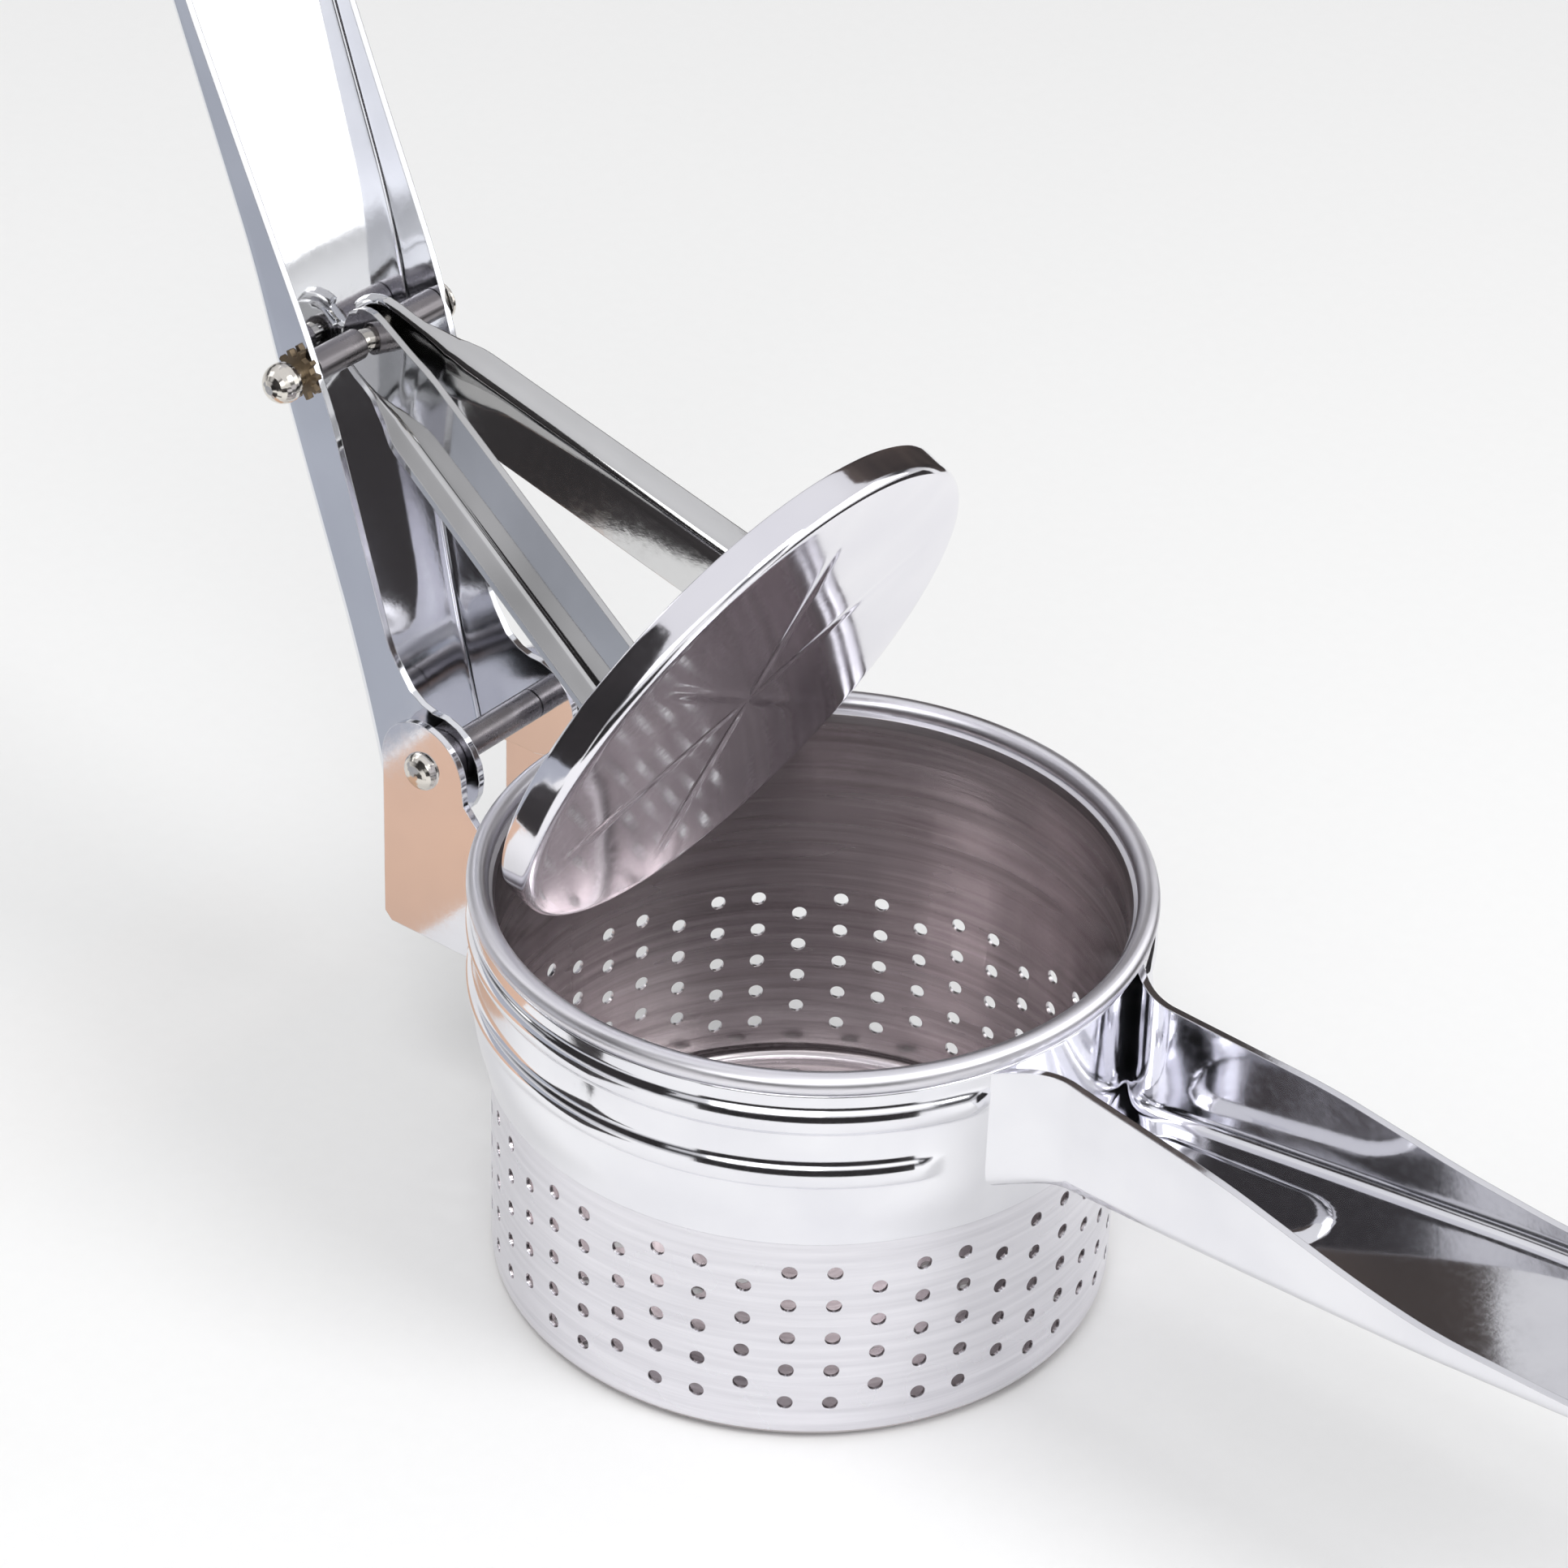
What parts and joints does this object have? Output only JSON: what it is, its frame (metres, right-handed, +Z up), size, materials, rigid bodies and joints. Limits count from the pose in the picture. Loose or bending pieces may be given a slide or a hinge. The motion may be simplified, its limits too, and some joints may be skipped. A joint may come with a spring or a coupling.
{
  "type": "potato ricer",
  "caption": "Hand press with a perforated round basket in a collar, a fixed channel handle and a hinged lever that pushes a disc plunger into the basket.",
  "frame": {"origin": "centre of the basket's flat underside, on the surface it stands on", "axes": "+Z up along the basket's axis, +X from the basket towards the lower handle, +Y along the hinge pin"},
  "size_m": [0.2913, 0.0882, 0.2494],
  "materials": {
    "satin_steel": "turned and brushed stainless steel",
    "polished_steel": "polished stainless steel",
    "handle_steel": "polished stainless steel",
    "lever_steel": "polished stainless steel",
    "arm_steel": "polished stainless steel",
    "disc_steel": "mirror-polished stainless steel",
    "rivet_steel": "bright domed rivet heads",
    "dark_steel": "dark plain steel",
    "bronzed_steel": "oil-blackened spring steel"
  },
  "bodies": {
    "holder": {"perforated_basket": "satin_steel", "collar_ring": "polished_steel", "lower_handle": "handle_steel", "hinge_bracket": "polished_steel", "hinge_rivet": "rivet_steel", "hinge_spacer_sleeve": "dark_steel", "hinge_washer_near": "dark_steel", "hinge_washer_far": "dark_steel"},
    "lever": {"lever_channel": "lever_steel", "pivot_pin": "rivet_steel", "pivot_cap": "rivet_steel", "pivot_lock_washer": "bronzed_steel", "pivot_spacer_near": "dark_steel", "pivot_spacer_far": "dark_steel"},
    "plunger": {"plunger_arm_near": "arm_steel", "plunger_arm_far": "arm_steel", "plunger_disc": "disc_steel"}
  },
  "joints": [
    {"name": "lever_hinge", "type": "hinge", "parent": "holder", "child": "lever", "pos_m": [-0.0555, 0, 0.0565], "axis": [0, 1, 0], "range_deg": [0, 83]},
    {"name": "plunger_pivot", "type": "hinge", "parent": "lever", "child": "plunger", "pos_m": [-0.07498, 0, 0.10889], "axis": [0, 1, 0], "range_deg": [-20.4, 0]}
  ],
  "couplings": [
    {"joint": "plunger_pivot", "follows": "lever_hinge", "ratio": -0.245}
  ]
}
